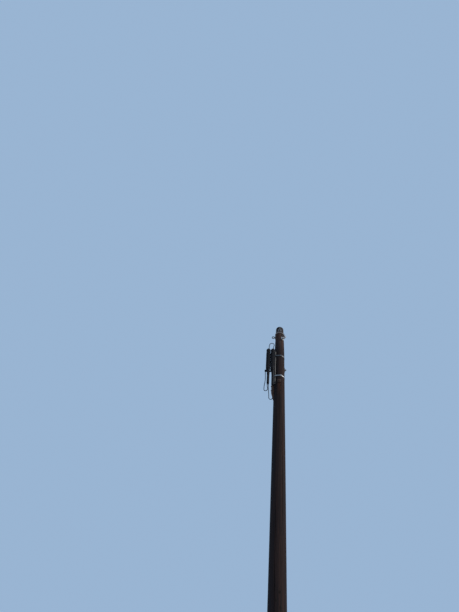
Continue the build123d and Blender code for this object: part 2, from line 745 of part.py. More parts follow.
def build():
    """Every piece by its node's name."""
    parts = {"pole_shaft": pole_shaft()}
    for name, height, azimuth in (
        ("front_eye", front_eye_height, front_eye_azimuth),
        ("side_eye", side_eye_height, side_eye_azimuth),
        ("mid_eye", mid_eye_height, mid_eye_azimuth),
    ):
        parts[name + "_bolt"] = around(eye_bolt(height), height, azimuth)
        parts[name + "_washers"] = around(washer_pair(height), height, azimuth)
        parts[name + "_nut"] = around(far_nut(height), height, azimuth)
    corner = (corner_eye_height, corner_eye_azimuth)
    thread_end = corner_thread_end(corner_eye_height)
    parts["corner_bolt"] = around(headed_bolt(corner_eye_height, thread_end), *corner)
    parts["corner_washers"] = around(washer_pair(corner_eye_height), *corner)
    parts["corner_eye_nut"] = around(eye_nut(corner_eye_height), *corner)
    parts["strand_wrap"], _ = strand_wrap()
    parts["strand_staples"] = Compound(children=[around(staple(), wrap_height, a) for a in staple_azimuths])
    parts["mounting_rail"] = mounting_rail()
    for name, height in (("upper_strap", upper_strap_height), ("lower_strap", lower_strap_height)):
        parts[name] = pole_strap(height)
        parts[name + "_buckle"] = buckle(height)
    upper_radius = dome_radius(upper_arm_height) + rib_height
    parts["upper_arm"] = support_arm(upper_arm_height, upper_arm_end, upper_radius)
    parts["lower_arm"] = support_arm(lower_arm_height, lower_arm_end, dome_foot_radius)
    parts["arm_bolts"] = Compound(children=[arm_bolt(upper_arm_height), arm_bolt(lower_arm_height)])
    parts["upper_bands"] = closure_bands(upper_arm_height, upper_radius)
    parts["lower_bands"] = closure_bands(lower_arm_height, dome_foot_radius)
    for name, place, length, fingers in (
        ("closure_a", closure_a_place, sleeve_a_length, (-gland_shift, gland_shift)),
        ("closure_b", closure_b_place, sleeve_b_length, (0,)),
    ):
        at = Pos(place, closure_plane, 0)
        parts[name + "_dome"] = at * closure_dome()
        parts[name + "_collar"] = at * closure_collar()
        parts[name + "_base"] = at * closure_base()
        parts[name + "_sleeve"] = at * closure_sleeve(length, fingers)
        parts[name + "_gland"] = at * top_gland()
    parts["lead_clamp"] = lead_clamp()
    messenger = (messenger_height, messenger_azimuth)
    parts["messenger_bolt"] = around(messenger_bolt(), *messenger)
    parts["messenger_washer"] = around(Rot(0, 0, 180) * curved_washer(messenger_height), *messenger)
    parts["messenger_inner_plate"] = around(messenger_inner(), *messenger)
    parts["messenger_outer_plate"] = around(messenger_outer(), *messenger)
    nut_seat = messenger_faces()[3] + face_gap
    parts["messenger_nut"] = around(nut(nut_flats, nut_height, bolt_radius, nut_seat), *messenger)
    parts["messenger_jaw_bolts"] = jaw_bolts()
    parts["timber_cleat"] = timber_cleat()
    parts["cleat_screws"] = cleat_screws()
    for name, hung, diameter in (
        ("jumper_loop", jumper_route, jumper_diameter), ("ring_loop", ring_route, drop_diameter),
        ("drop_lead", drop_route, drop_diameter),
    ):
        route = [(x, y, pole_height + z) for x, y, z in hung]
        parts[name], length = tube(route, diameter / 2)
        section = pi * diameter**2 / 4
        print(name, "length", round(length), "volume over section x length",
              round(parts[name].volume / (section * length), 4),
              "radii", [round(r) for r in tube_radii(route)])
    return parts


def main():
    os.makedirs("parts", exist_ok=True)
    for name, shape in build().items():
        export_step(shape, f"parts/{name}.step")


main()
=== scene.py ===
# %% [markdown]
# # A wooden telephone pole, dressed for its picture
# A telephone pole is one long tapered log with a few pieces of line hardware bolted through its top. The
# solid parts come ready made, in metres, with +Z up and the origin on the ground line, so each new piece can
# be put straight where the real one sits. This file gives them their surfaces, and rebuilds the pieces whose
# looks need more than a solid gives: soft cables, split timber, ribbed domes, twisted wire, eased edges and
# cut threads.

# %% Load the solid parts
import json
from math import atan2, cos, degrees, hypot, pi, radians, sin

import bmesh
import bpy
from mathutils import Matrix, Vector, noise


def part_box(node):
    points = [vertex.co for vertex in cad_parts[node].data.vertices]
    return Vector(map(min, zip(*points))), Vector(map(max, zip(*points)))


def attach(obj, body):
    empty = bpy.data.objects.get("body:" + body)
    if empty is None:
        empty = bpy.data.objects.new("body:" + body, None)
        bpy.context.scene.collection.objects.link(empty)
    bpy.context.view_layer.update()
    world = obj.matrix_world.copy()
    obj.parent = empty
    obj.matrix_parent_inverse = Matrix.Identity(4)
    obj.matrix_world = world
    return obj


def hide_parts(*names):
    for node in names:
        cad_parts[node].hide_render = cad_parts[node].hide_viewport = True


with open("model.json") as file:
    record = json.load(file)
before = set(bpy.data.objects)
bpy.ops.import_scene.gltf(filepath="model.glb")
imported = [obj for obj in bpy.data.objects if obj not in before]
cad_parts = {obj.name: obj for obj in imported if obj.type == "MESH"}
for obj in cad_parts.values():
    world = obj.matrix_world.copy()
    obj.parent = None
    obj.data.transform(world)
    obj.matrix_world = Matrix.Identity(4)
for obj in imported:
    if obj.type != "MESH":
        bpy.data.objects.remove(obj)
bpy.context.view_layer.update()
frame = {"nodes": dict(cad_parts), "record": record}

solids = frame["nodes"]

# %% [markdown]
# ## The camera
# The pole is seen from the pavement, from eye height and about five metres off, with the camera tipped well
# up and leaning a little to one side. A camera's matrix holds its own right, up and back directions as
# columns, so the three are worked out from the tip, the heading and the lean, which keeps each angle readable
# by itself. Blender wants a lens in millimetres, and the lens is known in pixels, so the sensor's width and
# the picture's longer side turn one into the other.

# %% Set up the camera
tip, heading, lean_over = radians(51.992), radians(-10.189), radians(8.585)
eye_place = (0, -5.1104, 1.6)
sensor_width, lens_pixels, picture_pixels = 36, 460, 612
ahead = Vector((sin(heading) * cos(tip), cos(heading) * cos(tip), sin(tip)))
level = Vector((cos(heading), -sin(heading), 0))
upright = level.cross(ahead)
camera_right = level * cos(lean_over) + upright * sin(lean_over)
camera_up = upright * cos(lean_over) - level * sin(lean_over)

scene = bpy.context.scene
scene.view_settings.view_transform = "Standard"
camera = bpy.data.objects.new("street_camera", bpy.data.cameras.new("street_camera"))
scene.collection.objects.link(camera)
camera.data.sensor_width = sensor_width
camera.data.lens = sensor_width * lens_pixels / picture_pixels
camera.data.clip_end = 500
turned = Matrix((camera_right, camera_up, -ahead)).transposed().to_4x4()
camera.matrix_world = Matrix.Translation(eye_place) @ turned
scene.camera = camera
print("camera tipped up", round(degrees(tip)), "degrees, lens", round(camera.data.lens, 1), "mm")

# %% [markdown]
# ## The slack cables
# Three short black cables hang on the pole: one arches from closure to closure, one loops below them, and
# one comes down from the lower arm and turns up into its closure. A cable is a curve with a round section. A
# NURBS line near a few points bends as softly as a real jacket does, where a chain of straight runs would
# look like wire. Each point carries the cable's own radius, so the bevel's depth is one. The order and the
# end rule are set once the points are there, because they are lost before that.

# %% Lay the cables
arch_route = [
    (-0.164, -0.086, 7.031), (-0.164, -0.086, 7.074), (-0.162, -0.085, 7.108), (-0.153, -0.083, 7.138),
    (-0.134, -0.081, 7.157), (-0.108, -0.080, 7.157), (-0.089, -0.081, 7.141), (-0.084, -0.083, 7.108),
    (-0.096, -0.086, 7.068), (-0.096, -0.086, 7.031),
]
lower_route = [
    (-0.158, -0.086, 6.258), (-0.158, -0.086, 6.203), (-0.154, -0.084, 6.147), (-0.149, -0.081, 6.092),
    (-0.146, -0.078, 6.038), (-0.1455, -0.076, 6.001), (-0.131, -0.075, 5.985), (-0.109, -0.075, 5.985),
    (-0.0945, -0.076, 6.001), (-0.0915, -0.078, 6.037), (-0.092, -0.080, 6.092), (-0.0945, -0.083, 6.148),
    (-0.098, -0.086, 6.195), (-0.098, -0.086, 6.232),
]
lead_route = [
    (-0.2105, -0.059, 6.546), (-0.2105, -0.059, 6.490), (-0.2075, -0.060, 6.432), (-0.2065, -0.062, 6.375),
    (-0.210, -0.064, 6.320), (-0.2165, -0.067, 6.270), (-0.220, -0.070, 6.222), (-0.2205, -0.074, 6.184),
    (-0.218, -0.080, 6.149), (-0.203, -0.085, 6.133), (-0.181, -0.091, 6.133), (-0.167, -0.096, 6.150),
    (-0.1655, -0.098, 6.183), (-0.174, -0.086, 6.216), (-0.174, -0.086, 6.258),
]


def cable(name, route, diameter, solid):
    """A slack cable along a route, in place of its plain solid."""
    curve = bpy.data.curves.new(name, "CURVE")
    curve.dimensions = "3D"
    line = curve.splines.new("NURBS")
    line.points.add(len(route) - 1)
    for point, place in zip(line.points, route):
        point.co = (*place, 1)
        point.radius = diameter / 2
    line.order_u = 3
    line.use_endpoint_u = True
    line.resolution_u = 16
    curve.bevel_depth = 1.0
    curve.bevel_resolution = 5
    curve.use_fill_caps = True
    piece = bpy.data.objects.new(name, curve)
    scene.collection.objects.link(piece)
    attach(piece, "root")
    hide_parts(solid)
    return piece


cables = [
    cable("jumper_cable", arch_route, 0.010, "jumper_loop"),
    cable("ring_cable", lower_route, 0.010, "ring_loop"),
    cable("drop_cable", lead_route, 0.010, "drop_lead"),
]
print("cables laid:", [piece.name for piece in cables])

# %% [markdown]
# ## Soft daylight on a pale ground
# The pole is dark and stands before an open sky, so its backdrop is one plain blue over a pale floor, and one
# broad lamp stands in for a low sun on its right. The sky that lights the pole and the sky that the camera
# sees are two backgrounds, told apart by the kind of ray. So the backdrop can have any colour, while the
# light on the timber stays at a level where a colour looks as it is written. The floor keeps the pole's
# shadow.

# %% Light the scene
def seen_rays(tree):
    """One for a camera, mirror or glass ray, and zero for the rays that light a surface."""
    path = tree.nodes.new("ShaderNodeLightPath")
    seen = path.outputs["Is Camera Ray"]
    for kind in ("Is Glossy Ray", "Is Transmission Ray"):
        either = tree.nodes.new("ShaderNodeMath")
        either.operation = "MAXIMUM"
        tree.links.new(seen, either.inputs[0])
        tree.links.new(path.outputs[kind], either.inputs[1])
        seen = either.outputs[0]
    return seen


backdrop = (0.32, 0.46, 0.65, 1)
sky_light, sky_strength = (0.66, 0.80, 1.0, 1), 0.5
scene.world = bpy.data.worlds.new("open_sky")
scene.world.use_nodes = True
sky = scene.world.node_tree
sky.nodes.clear()
lighting, showing = sky.nodes.new("ShaderNodeBackground"), sky.nodes.new("ShaderNodeBackground")
lighting.inputs["Color"].default_value = sky_light
lighting.inputs["Strength"].default_value = sky_strength
showing.inputs["Color"].default_value = backdrop
choice, sky_out = sky.nodes.new("ShaderNodeMixShader"), sky.nodes.new("ShaderNodeOutputWorld")
sky.links.new(seen_rays(sky), choice.inputs[0])
sky.links.new(lighting.outputs[0], choice.inputs[1])
sky.links.new(showing.outputs[0], choice.inputs[2])
sky.links.new(choice.outputs[0], sky_out.inputs["Surface"])
print("sky light at", sky_strength, "behind a backdrop of", backdrop[:3])

# %% [markdown]
# ## The sun and the floor
# A sun lamp shines along one direction wherever it stands, so only its turn is set: its own Z axis points to
# where the light comes from, on the right, in front and not very high. A wide angle softens its shadows as
# thin cloud does. The floor is a wide disc, so that its edge lies on the horizon.

# %% Hang the sun and lay the floor
sun_from, sun_strength, sun_width = (0.93, -0.30, 0.55), 2.3, radians(14)
floor_radius = 120
sun = bpy.data.objects.new("soft_sun", bpy.data.lights.new("soft_sun", "SUN"))
sun.data.energy = sun_strength
sun.data.angle = sun_width
sun.data.color = (1.0, 0.96, 0.9)
sun.matrix_world = Vector(sun_from).to_track_quat("Z", "Y").to_matrix().to_4x4()
scene.collection.objects.link(sun)

bm = bmesh.new()
bmesh.ops.create_circle(bm, cap_ends=True, segments=64, radius=floor_radius)
floor = bpy.data.objects.new("pale_floor", bpy.data.meshes.new("pale_floor"))
bm.to_mesh(floor.data)
bm.free()
scene.collection.objects.link(floor)
paving = bpy.data.materials.new("pale_floor")
paving.use_nodes = True
paving_shader = paving.node_tree.nodes["Principled BSDF"]
paving_shader.inputs["Base Color"].default_value = (0.72, 0.74, 0.76, 1)
paving_shader.inputs["Roughness"].default_value = 0.9
floor.data.materials.append(paving)
print("sun at", sun_strength, "over a floor", 2 * floor_radius, "m wide")

# %% [markdown]
# ## Writing a surface as sums
# A surface here is a few patterns added, multiplied and mixed. Wiring each Math node by hand hides that, so
# one small class wraps a socket and lets Python's own + - * add the nodes, and one method adds any other node
# from its type, its settings and its sockets. The settings go first, because a Math node's operation or a
# ramp's stops decide which sockets it has and what they mean.

# %% A helper for surfaces
class Signal:
    """A node's output that Python's operators work on."""

    def __init__(self, finish, socket):
        self.finish, self.socket = finish, socket

    def maths(self, operation, *others):
        return self.finish.add("ShaderNodeMath", {"operation": operation}, dict(enumerate((self, *others))))

    def __add__(self, other):
        return self.maths("ADD", other)

    def __mul__(self, other):
        return self.maths("MULTIPLY", other)

    def __sub__(self, other):
        return self.maths("SUBTRACT", other)

    def __rsub__(self, other):
        return self.finish.add("ShaderNodeMath", {"operation": "SUBTRACT"}, {0: other, 1: self})

    __radd__, __rmul__ = __add__, __mul__


class Finish:
    """A material that is written as sums of signals."""

    def __init__(self, name):
        self.material = bpy.data.materials.new(name)
        self.material.use_nodes = True
        self.tree = self.material.node_tree
        self.place = self.add("ShaderNodeTexCoord", output="Object")
        self.x, self.y, self.z = self.apart(self.place)

    def add(self, kind, settings=None, sockets=None, output=0):
        node = self.tree.nodes.new(kind)
        for key, value in (settings or {}).items():
            if key == "stops":
                while len(node.color_ramp.elements) < len(value):
                    node.color_ramp.elements.new(0.5)
                for stop, (place, colour) in zip(node.color_ramp.elements, value):
                    stop.position, stop.color = place, (*colour, 1)
            else:
                setattr(node, key, value)
        for key, value in (sockets or {}).items():
            if isinstance(value, Signal):
                self.tree.links.new(value.socket, node.inputs[key])
            else:
                node.inputs[key].default_value = value
        return Signal(self, node.outputs[output])

    def vectors(self, operation, *values, output=0):
        return self.add("ShaderNodeVectorMath", {"operation": operation}, dict(enumerate(values)), output)

    def apart(self, vector):
        first = self.add("ShaderNodeSeparateXYZ", sockets={0: vector})
        return [Signal(self, socket) for socket in first.socket.node.outputs]

    def stretched(self, across, along):
        """Object coordinates scaled so that a pattern of size one is 1/across wide and 1/along tall."""
        return self.vectors("MULTIPLY", self.place, (across, across, along))

    def offset_from(self, middle, squeeze):
        """The way from a place on the piece, with each axis squeezed by its own share."""
        return self.vectors("MULTIPLY", self.vectors("SUBTRACT", self.place, middle), squeeze)

    def length_of(self, vector):
        return self.vectors("LENGTH", vector, output="Value")

    def grain(self, vector, scale=1.0, detail=6.0, roughness=0.6, distortion=0.0):
        return self.add("ShaderNodeTexNoise", sockets={
            "Vector": vector, "Scale": scale, "Detail": detail, "Roughness": roughness,
            "Distortion": distortion})

    def span(self, value, low, high, start=0.0, end=1.0, smooth=True):
        """The value from low to high carried over to start and end, and held there outside it."""
        kind = "SMOOTHSTEP" if smooth else "LINEAR"
        return self.add("ShaderNodeMapRange", {"interpolation_type": kind}, {
            "Value": value, "From Min": low, "From Max": high, "To Min": start, "To Max": end})

    def mix(self, amount, first, second):
        first, second = [(*c, 1) if isinstance(c, tuple) else c for c in (first, second)]
        return self.add("ShaderNodeMix", {"data_type": "RGBA"}, {0: amount, 6: first, 7: second}, output=2)

    def ramp(self, value, *stops):
        return self.add("ShaderNodeValToRGB", {"stops": stops}, {0: value})

    def bump(self, height, distance, strength=1.0):
        return self.add("ShaderNodeBump", sockets={
            "Height": height, "Distance": distance, "Strength": strength})

    def shine(self, **sockets):
        shader = self.tree.nodes["Principled BSDF"]
        for key, value in sockets.items():
            socket = shader.inputs[key.replace("_", " ").title().replace("Ior", "IOR")]
            if isinstance(value, Signal):
                self.tree.links.new(value.socket, socket)
            else:
                socket.default_value = (*value, 1) if isinstance(value, tuple) else value
        return self.material


# %% [markdown]
# ## Weathered timber
# The log was treated with a dark preservative and has stood for years. Long grain streaks run up it, hairline
# drying cracks follow the grain, the sun has greyed its top, and splashes from the ground have dried on its
# foot. The side away from the sun, towards -X, gets a painted shade: a bluish black mixed into its colour.
# Noise that is squeezed across and stretched along the log gives the streaks, and a thin band around one of
# its levels gives the hairlines. The broad tones are masks of the height, and the painted shade is a mask of
# the side.

# %% The timber's surface
timber = Finish("weathered_timber")
coarse = timber.grain(timber.stretched(38, 1.3), detail=5, roughness=0.55)
streaks = timber.grain(timber.stretched(130, 3.2), detail=7, roughness=0.62, distortion=0.3)
fibres = timber.grain(timber.stretched(520, 14), detail=4, roughness=0.6)
patches = timber.grain(timber.stretched(9, 1.1), detail=4)
fine = timber.grain(timber.stretched(95, 1.9), detail=3, roughness=0.45)
hairlines = timber.span((fine - 0.5).maths("ABSOLUTE"), 0.0, 0.012, 1.0, 0.0)
tone = timber.span(0.5 * coarse + 0.32 * streaks + 0.18 * fibres, 0.34, 0.66, smooth=False)
dark_wood = timber.ramp(
    tone, (0.0, (0.005, 0.0033, 0.0040)), (0.38, (0.0138, 0.0078, 0.0076)), (0.66, (0.027, 0.0145, 0.0126)),
    (1.0, (0.052, 0.030, 0.024)))
grey_wood = timber.ramp(
    tone, (0.0, (0.011, 0.0092, 0.0095)), (0.45, (0.033, 0.027, 0.0265)), (1.0, (0.098, 0.084, 0.080)))
height_grey = timber.span(timber.z, 6.75, 7.5, 0.04, 0.72)
greyed = timber.span(height_grey + 0.5 * (patches - 0.5), 0.1, 0.8, 0.0, 0.85)
colour = timber.mix(greyed, dark_wood, grey_wood)
# Painted shade: the -X side, away from the sun, is darkened to a bluish black in the colour itself.
painted_shade_side = timber.span(timber.x + 0.03 * (patches - 0.5), -0.10, 0.03, 0.75, 0.0)
colour = timber.mix(painted_shade_side, colour, (0.0066, 0.0076, 0.0118))
soaked = timber.span(timber.z + 0.8 * (patches - 0.5), 0.4, 1.9, 0.55, 0.0)
colour = timber.mix(soaked, colour, (0.016, 0.011, 0.009))
splashed = timber.span(timber.z + 0.5 * (coarse - 0.5), 0.0, 0.32, 0.6, 0.0)
colour = timber.mix(splashed, colour, (0.11, 0.085, 0.06))
print("timber patterns wired:", len(timber.tree.nodes), "nodes")

# %% [markdown]
# ## Places on the log
# Whatever sits on the log, a knot, a bolt or a wound strand, is placed by how far round it lies and how high.
# The log tapers evenly, and its head has lost a little more to the weather. One function gives its radius at
# a height, and a second one a place on its skin, so a new mark needs two numbers only.

# %% Find a place on the log
pole_height, ground_radius, sound_top_radius = 7.6, 0.116, 0.075
head_length, head_waste = 0.64, 0.013


def pole_radius(height):
    """The log's even taper, less what its weathered head has lost."""
    even = ground_radius + (sound_top_radius - ground_radius) * height / pole_height
    return even - head_waste * max(0, 1 - (pole_height - height) / head_length) ** 1.5


def on_pole(azimuth, height):
    """A place on the log's skin."""
    reach = pole_radius(height)
    return Vector((reach * cos(radians(azimuth)), reach * sin(radians(azimuth)), height))


print("log radius:", pole_radius(0), "m at the ground,", round(pole_radius(pole_height), 4), "m at the top")

# %% [markdown]
# ## Knots and rust runs
# A knot is the stump of a branch: a dark spot, a little taller than wide, with a ring of bent grain sunk
# around it. Rain carries rust from each bolt down the wood in a short streak. Both are masks that fade with
# the distance from a place on the log, and the streaks' noise frays their edges. For a rust run the height is
# squeezed flat first, so that the distance counts only sideways, and the fall below the bolt is a mask of its
# own.

# %% Knots and rust on the timber
knots = [  # azimuth in degrees, then height and size in metres
    (283, 6.253, 0.011), (284, 6.152, 0.012), (302, 6.143, 0.008), (314, 4.821, 0.014), (286, 3.503, 0.017),
    (292, 3.365, 0.019), (263, 3.428, 0.013), (150, 5.9, 0.015), (35, 5.35, 0.016), (205, 4.55, 0.014),
    (88, 3.9, 0.018), (250, 2.35, 0.02), (20, 2.1, 0.021), (130, 1.45, 0.02), (318, 1.25, 0.019),
    (200, 0.72, 0.022),
]
rust_places = [  # azimuth in degrees and height in metres
    (270, 7.472), (90, 7.472), (180, 7.362), (0, 7.362), (132, 7.277), (312, 7.277), (0, 6.611), (90, 6.31),
    (270, 6.317), (232, 7.44), (345, 7.44),
]
knotted, sunk = 0.0, 0.0
for azimuth, height, size in knots:
    away = timber.length_of(timber.offset_from(on_pole(azimuth, height), (1, 1, 0.72)))
    away = away + 0.35 * size * (streaks - 0.5)
    knotted = timber.span(away, 0.45 * size, size, 1.0, 0.0).maths("MAXIMUM", knotted)
    ring = timber.span((away - 1.05 * size).maths("ABSOLUTE"), 0.0, 0.28 * size, 1.0, 0.0)
    sunk = ring.maths("MAXIMUM", sunk)
run_down = 0.0
for azimuth, height in rust_places:
    sideways = timber.length_of(timber.offset_from(on_pole(azimuth, height), (1, 1, 0)))
    beside = timber.span(sideways + 0.03 * (streaks - 0.5), 0.012, 0.036, 1.0, 0.0)
    fall = height - timber.z
    under = timber.span(fall, -0.02, 0.03) * timber.span(fall, 0.05, 0.34, 1.0, 0.0)
    run_down = (beside * under).maths("MAXIMUM", run_down)
run_down = run_down * timber.span(streaks, 0.36, 0.6, 0.25, 0.85)
colour = timber.mix(0.75 * run_down, colour, (0.075, 0.026, 0.012))
colour = timber.mix(0.9 * knotted, colour, (0.009, 0.006, 0.005))
colour = timber.mix(0.5 * sunk, colour, (0.02, 0.013, 0.010))
colour = timber.mix(0.85 * hairlines, colour, (0.006, 0.0045, 0.004))
relief = 0.6 * streaks + 0.35 * fibres - 0.8 * hairlines - 0.5 * sunk + 0.4 * knotted
timber.shine(
    base_color=colour, specular_ior_level=0.15, roughness=timber.span(tone, 0, 1, 0.72, 0.93),
    normal=timber.bump(relief, 0.0016, 0.9))
print("knots:", len(knots), "rust runs:", len(rust_places))

# %% [markdown]
# ## Sawn end grain
# The top was sawn at a slope so that rain runs off. A sawn end shows the year rings around the heart,
# crossed by short cracks that open outwards. Rings are a sine wave of the distance from the heart, which lies
# a little off the middle, and noise keeps them from being true circles. The cracks are noise of the direction
# from the heart alone, so they run straight outwards.

# %% The end grain's surface
heart, ring_width = (0.007, -0.005, 0), 0.0036
sawn = Finish("sawn_end_grain")
wobble = sawn.grain(sawn.place, scale=28, detail=3)
off_heart = sawn.offset_from(heart, (1, 1, 0))
from_heart = sawn.length_of(off_heart)
rings = ((from_heart + 0.006 * (wobble - 0.5)) * (2 * pi / ring_width)).maths("SINE")
rays = sawn.grain(sawn.vectors("NORMALIZE", off_heart), scale=9, detail=2)
split = sawn.span((rays - 0.5).maths("ABSOLUTE"), 0.0, 0.016, 1.0, 0.0) * sawn.span(from_heart, 0.012, 0.03)
weathered = sawn.grain(sawn.place, scale=55, detail=5)
end_colour = sawn.ramp(
    0.5 + 0.22 * rings + 0.5 * (weathered - 0.5), (0.0, (0.03, 0.025, 0.021)), (0.5, (0.10, 0.085, 0.07)),
    (1.0, (0.22, 0.19, 0.155)))
end_colour = sawn.mix(0.9 * split, end_colour, (0.008, 0.006, 0.005))
sawn.shine(base_color=end_colour, roughness=0.92,
           normal=sawn.bump(0.3 * rings + weathered - 1.5 * split, 0.0009))
print("year rings every", 1000 * ring_width, "mm")

# %% [markdown]
# ## The log
# A log is a tapered cylinder that has dried: it is never quite round, and it has split open along the grain
# in a few long checks that taper to nothing at both ends. Cutting each check with a knife shape would need
# many Booleans. Here the log starts as a cone with many upright columns of edges, and each check draws the
# two columns beside one column together and sinks that one, so the split is real geometry that costs no
# faces. The log starts a little too long, because the saw takes the rest.

# %% Build the log
columns, rows = 144, 170
checks = [  # azimuth, foot, head, width and depth in metres, and how far its line wanders in degrees
    (296, 6.93, 7.70, 0.0064, 0.026, 5.0), (272, 7.33, 7.70, 0.0026, 0.009, 2.0),
    (324, 7.12, 7.70, 0.0034, 0.014, 3.5), (241, 7.02, 7.70, 0.0052, 0.021, 4.5),
    (202, 7.28, 7.70, 0.0028, 0.011, 3.0), (167, 6.96, 7.70, 0.0046, 0.018, 4.0),
    (121, 6.90, 7.70, 0.0060, 0.024, 5.0), (88, 7.36, 7.70, 0.0024, 0.009, 2.0),
    (41, 6.80, 7.70, 0.0060, 0.025, 5.0), (12, 7.21, 7.70, 0.0032, 0.012, 3.0),
    (277, 5.35, 6.72, 0.0046, 0.020, 4.0), (305, 4.05, 5.75, 0.0056, 0.024, 5.0),
    (254, 3.10, 4.60, 0.0050, 0.022, 4.0), (284, 1.20, 2.95, 0.0060, 0.026, 5.0),
    (220, 1.90, 3.40, 0.0050, 0.022, 5.0), (175, 3.60, 5.55, 0.0058, 0.026, 5.0),
    (140, 0.90, 2.70, 0.0056, 0.024, 4.0), (100, 4.20, 6.05, 0.0060, 0.026, 5.0),
    (62, 2.10, 3.90, 0.0054, 0.024, 5.0), (18, 3.30, 5.10, 0.0056, 0.024, 5.0),
    (345, 1.10, 2.60, 0.0052, 0.022, 4.0), (330, 5.70, 6.60, 0.0040, 0.016, 3.0),
    (52, 0.30, 1.55, 0.0050, 0.022, 4.0), (262, 0.25, 0.95, 0.0044, 0.018, 3.0),
]
check_fade, lip, columns_moved = 0.35, 0.0012, 4
skin_depth, unround_depth, ripple_depth = 0.0011, 0.0007, 0.0004
rough_length = pole_height + 0.02
bm = bmesh.new()
bmesh.ops.create_cone(bm, segments=columns, radius1=ground_radius, radius2=pole_radius(rough_length),
                      depth=rough_length, cap_ends=False)
bmesh.ops.translate(bm, verts=bm.verts, vec=(0, 0, rough_length / 2))
upright_edges = [e for e in bm.edges if abs(e.verts[0].co.z - e.verts[1].co.z) > 1]
bmesh.ops.subdivide_edges(bm, edges=upright_edges, cuts=rows, use_grid_fill=True)
step = 2 * pi / columns
for v in bm.verts:
    height = v.co.z
    azimuth = atan2(v.co.y, v.co.x)
    reach = pole_radius(height)
    unround = noise.noise(Vector((3 * cos(azimuth), 3 * sin(azimuth), 0.7 * height)))
    ripple = noise.noise(Vector((22 * cos(azimuth), 22 * sin(azimuth), 2.2 * height)) + Vector((5, 1, 2)))
    reach -= skin_depth + unround_depth * unround + ripple_depth * ripple
    turn, sink = 0.0, 0.0
    for middle, foot, head, width, depth, wander in checks:
        if not foot < height < head:
            continue
        head_fade = min(1, (head - height) / check_fade) if head < pole_height else 1
        open_here = min(1, (height - foot) / check_fade) * head_fade
        open_here *= 0.8 + 0.35 * noise.noise(Vector((middle, 0, 4 * height)))
        away = (azimuth - radians(middle) + pi) % (2 * pi) - pi
        beside = round(away / step)
        if abs(beside) > columns_moved:
            continue
        sway = radians(wander) * noise.noise(Vector((0, middle, 0.9 * height)))
        if beside == 0:
            turn, sink = sway - away, depth * open_here
        elif abs(beside) == 1:
            side = 1 if beside > 0 else -1
            turn = sway - away + side * (width * open_here / 2 / reach + lip)
        else:
            turn = sway * (columns_moved - abs(beside)) / columns_moved
    reach -= sink
    v.co.x, v.co.y = reach * cos(azimuth + turn), reach * sin(azimuth + turn)
print("log skin:", len(bm.faces), "faces,", len(checks), "checks")

# %% [markdown]
# ## The sloped roof and the foot
# One cut of a plane takes the roof off, and each end is then closed with a single face of many corners. Only
# these two faces have more corners than a quad or its cut rest, so their count of corners tells them from the
# skin: they stay flat, and the one that looks up gets the end grain. Sharp edges keep the checks crisp.

# %% Saw the roof and close both ends
roof_slope, sharp_angle, most_skin_corners = radians(14), radians(38), 8
roof_point = Vector((0, -pole_radius(pole_height), pole_height))
roof_up = Vector((0, sin(roof_slope), cos(roof_slope)))
bmesh.ops.bisect_plane(bm, geom=bm.verts[:] + bm.edges[:] + bm.faces[:], plane_co=roof_point,
                       plane_no=roof_up, clear_outer=True)
bmesh.ops.holes_fill(bm, edges=[e for e in bm.edges if e.is_boundary], sides=0)
bmesh.ops.recalc_face_normals(bm, faces=bm.faces)
for face in bm.faces:
    is_end = len(face.verts) > most_skin_corners
    face.smooth = not is_end
    face.material_index = 1 if is_end and face.normal.z > 0.5 else 0
for edge in bm.edges:
    edge.smooth = edge.calc_face_angle(0) < sharp_angle


def finished(bm, name, slot, *materials, replaced=()):
    """Turns a bmesh into a piece of the pole."""
    mesh = bpy.data.meshes.new(name)
    bm.to_mesh(mesh)
    bm.free()
    piece = bpy.data.objects.new(name, mesh)
    scene.collection.objects.link(piece)
    for material in materials:
        mesh.materials.append(material)
    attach(piece, "root")
    if replaced:
        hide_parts(*replaced)
    return piece


log = finished(bm, "split_log", "weathered_wood", timber.material, sawn.material, replaced=["pole_shaft"])
print("log:", len(log.data.polygons), "faces, top at", round(max(v.co.z for v in log.data.vertices), 4))

# %% [markdown]
# ## Galvanised steel
# Line hardware is dipped in zinc, which dries to a dull grey with faint flakes and whitish bloom, and rusts
# first in specks. Voronoi cells of a few millimetres are the flakes, broad noise is the bloom, and a high
# threshold on finer noise lets the rust through. The same recipe, darker or with its threshold lower, makes
# the old eye bolts, the dull rail and the rusted through bolt. The straps are brushed steel: noise stretched
# round the pole gives the brush lines, and a second noise the stains.

# %% Metal surfaces
deep_rust, bright_rust = (0.05, 0.016, 0.007), (0.21, 0.075, 0.026)


def galvanised(name, light, rust_level, flake=190.0, rust_light=1.0):
    """Zinc of a given lightness, with less rust the higher its level is."""
    metal = Finish(name)
    cells = metal.add("ShaderNodeTexVoronoi", sockets={"Vector": metal.place, "Scale": flake}, output="Color")
    flakes = metal.apart(cells)[0]
    bloom = metal.grain(metal.place, scale=42, detail=5)
    specks = metal.grain(metal.place, scale=150, detail=8, roughness=0.7)
    fine = metal.grain(metal.place, scale=900, detail=3)
    shade = light * (0.82 + 0.2 * flakes + 0.35 * (bloom - 0.5))
    grey = metal.add("ShaderNodeCombineColor", sockets={0: shade, 1: 1.005 * shade, 2: 1.01 * shade})
    rusting = metal.span(0.62 * specks + 0.38 * bloom, rust_level, rust_level + 0.07)
    deep, bright = [tuple(rust_light * c for c in rust) for rust in (deep_rust, bright_rust)]
    rust_colour = metal.ramp(specks, (0.3, deep), (0.7, bright))
    return metal.shine(
        base_color=metal.mix(rusting, grey, rust_colour),
        metallic=metal.span(rusting, 0, 1, 0.75, 0.0) * metal.span(bloom, 0.5, 0.7, 1.0, 0.7),
        roughness=metal.span(bloom + 0.3 * flakes, 0.4, 0.9, 0.42, 0.68) + 0.25 * rusting,
        normal=metal.bump(0.5 * specks + 0.3 * fine + 0.4 * rusting, 0.00035))


